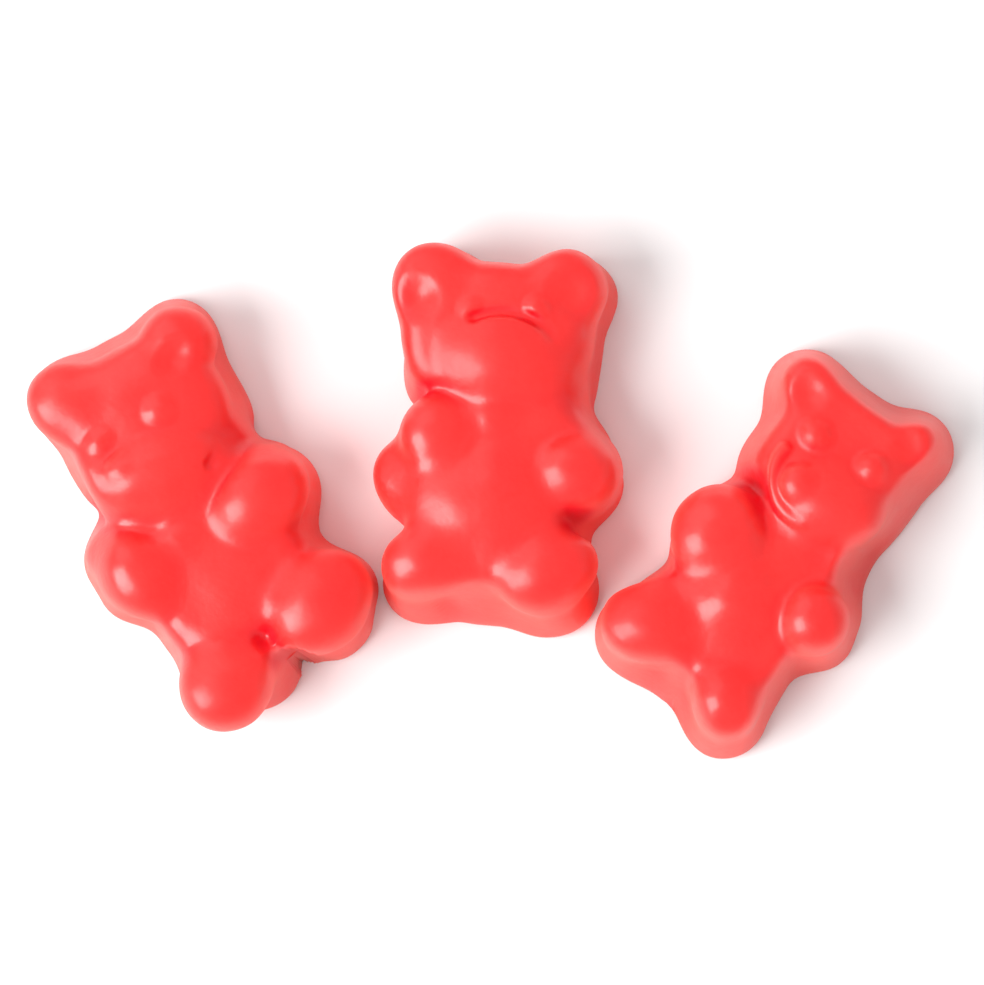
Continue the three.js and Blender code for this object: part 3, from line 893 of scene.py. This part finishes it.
# %% Build the bears
for name in BEARS:
    points = (placed[name] + row_shift) * MM
    piece = fill_mesh(name + "_jelly", points, triangles, marks[name])
    piece.data.materials.append(jelly)
    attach(piece, "root")
    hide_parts(name)
    print(piece.name, "shows in place of", name)

# %% [markdown]
# ## A white table
# The bears lie on matt white card. It only has to catch their soft shadows and the red
# light that comes through their walls, so one large square of diffuse white will do.

# %% Table
TABLE_HALF = 2.0
TABLE_WHITE = (0.88, 0.88, 0.88)
TABLE_ROUGHNESS = 0.6


def table_top():
    """One square of diffuse white at the height of the bears' backs."""
    low, high = -TABLE_HALF, TABLE_HALF
    mesh = bpy.data.meshes.new("table")
    corners = [(low, low, 0), (high, low, 0), (high, high, 0), (low, high, 0)]
    mesh.from_pydata(corners, [], [(0, 1, 2, 3)])
    floor = put_in_scene("table", mesh)
    material = bpy.data.materials.new("white_table")
    material.use_nodes = True
    shader = material.node_tree.nodes["Principled BSDF"]
    shader.inputs["Base Color"].default_value = (*TABLE_WHITE, 1)
    shader.inputs["Roughness"].default_value = TABLE_ROUGHNESS
    mesh.materials.append(material)
    return floor


table = table_top()
print("scenery:", table.name, 2 * TABLE_HALF, "m across")

# %% [markdown]
# ## Soft light from the upper left
# Milky jelly needs a large soft light: a small lamp would put hard white dots on every swelling.
# One soft box to the left gives the broad highlights, another behind lights the far
# walls, and a bright even room fills the shadows. Neither box stands overhead, where
# it would mirror into the camera and put a grey haze on every flat part.

# %% Light
KEY_PLACE, KEY_SIZE, KEY_POWER = (-0.25, -0.11, 0.23), 0.25, 1.75
BACK_PLACE, BACK_SIZE, BACK_POWER = (-0.20, 0.26, 0.27), 0.36, 0.35
ROOM_WHITE = (1, 1, 1, 1)
ROOM_STRENGTH = 0.65


def soft_box(name, place, size, power):
    """A square lamp that faces the middle of the row."""
    lamp = bpy.data.lights.new(name, "AREA")
    lamp.size = size
    lamp.energy = power
    box = put_in_scene(name, lamp)
    box.location = place
    box.rotation_euler = (-Vector(place)).to_track_quat("-Z", "Y").to_euler()


soft_box("key", KEY_PLACE, KEY_SIZE, KEY_POWER)
soft_box("back", BACK_PLACE, BACK_SIZE, BACK_POWER)
world = bpy.data.worlds.new("room")
bpy.context.scene.world = world
world.use_nodes = True
room = world.node_tree.nodes["Background"].inputs
room["Color"].default_value = ROOM_WHITE
room["Strength"].default_value = ROOM_STRENGTH
bpy.context.scene.view_settings.view_transform = "Standard"

# %% [markdown]
# ## A camera almost overhead
# The row is seen from above, tilted a few degrees towards the feet, so the walls below
# the feet just show. The camera is aimed by its three axes, without a tracking constraint,
# and its lens is worked out from the number of pixels that a millimetre should take.

# %% Camera
PICTURE_WIDE, PICTURE_HIGH = 984, 985
PIXELS_PER_MM = 17.9
ROW_PIXEL = (488.5, 500.5)
TILT = math.radians(6)
CAMERA_AWAY = 0.35
SENSOR_WIDTH = 36


def aim_camera():
    """lens = sensor * distance / (height of the view), with the view's centre moved off the row's."""
    right = Vector((1, 0, 0))
    up = Vector((0, math.cos(TILT), math.sin(TILT)))
    back = Vector((0, -math.sin(TILT), math.cos(TILT)))
    lens = bpy.data.cameras.new("camera")
    lens.sensor_width = SENSOR_WIDTH
    lens.lens = lens.sensor_width * CAMERA_AWAY / (PICTURE_HIGH / PIXELS_PER_MM * MM)
    camera = put_in_scene("camera", lens)
    to_right = (PICTURE_WIDE / 2 - ROW_PIXEL[0]) / PIXELS_PER_MM * MM
    to_top = (ROW_PIXEL[1] - PICTURE_HIGH / 2) / PIXELS_PER_MM * MM
    camera.location = Vector(row_shift) * MM + right * to_right + up * to_top + back * CAMERA_AWAY
    camera.rotation_euler = Matrix((right, up, back)).transposed().to_euler()
    bpy.context.scene.camera = camera
    return camera


camera = aim_camera()
print("camera stands at", [round(value, 3) for value in camera.location], "m")
